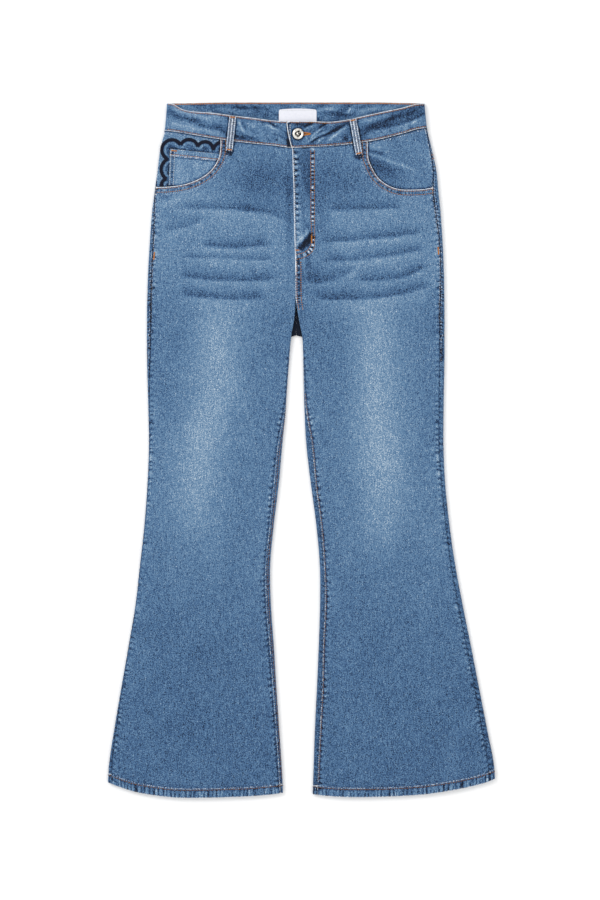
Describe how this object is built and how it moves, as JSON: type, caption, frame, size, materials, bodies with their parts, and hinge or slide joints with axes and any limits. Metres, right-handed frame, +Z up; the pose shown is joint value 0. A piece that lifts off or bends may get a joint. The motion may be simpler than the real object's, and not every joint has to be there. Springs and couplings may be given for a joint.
{
  "type": "flared jeans laid flat",
  "caption": "High-rise flared jeans in washed denim, buttoned and laid flat on their back, with scooped front pockets, a coin pocket edged by scalloped embroidery, and back patch pockets.",
  "frame": {"origin": "on the surface that the jeans lie on, under the middle of their outline", "axes": "+Y along the legs towards the waist, +X towards the wearer's left, +Z up, out of the front of the jeans"},
  "size_m": [0.5994, 1.0772, 0.0135],
  "materials": {
    "denim": "washed mid-blue stretch twill denim, faded down the legs and worn pale along the edges",
    "embroidery_thread": "navy satin-stitch thread with a slight sheen",
    "label_weave": "plain white woven label",
    "button_metal": "nickel-finished tack button, worn bright on its rim"
  },
  "bodies": {
    "root": {"front_right": "denim", "front_left": "denim", "back_right": "denim", "back_left": "denim", "yoke_right": "denim", "yoke_left": "denim", "back_pocket_right": "denim", "back_pocket_left": "denim", "pocket_facing_right": "denim", "pocket_facing_left": "denim", "coin_pocket": "denim", "waistband_front_right": "denim", "waistband_front_left": "denim", "waistband_back": "denim", "belt_loop_front_right": "denim", "belt_loop_front_left": "denim", "belt_loop_back_right": "denim", "belt_loop_back_centre": "denim", "belt_loop_back_left": "denim", "scallop_border": "embroidery_thread", "label": "label_weave", "waist_button": "button_metal"}
  },
  "joints": []
}
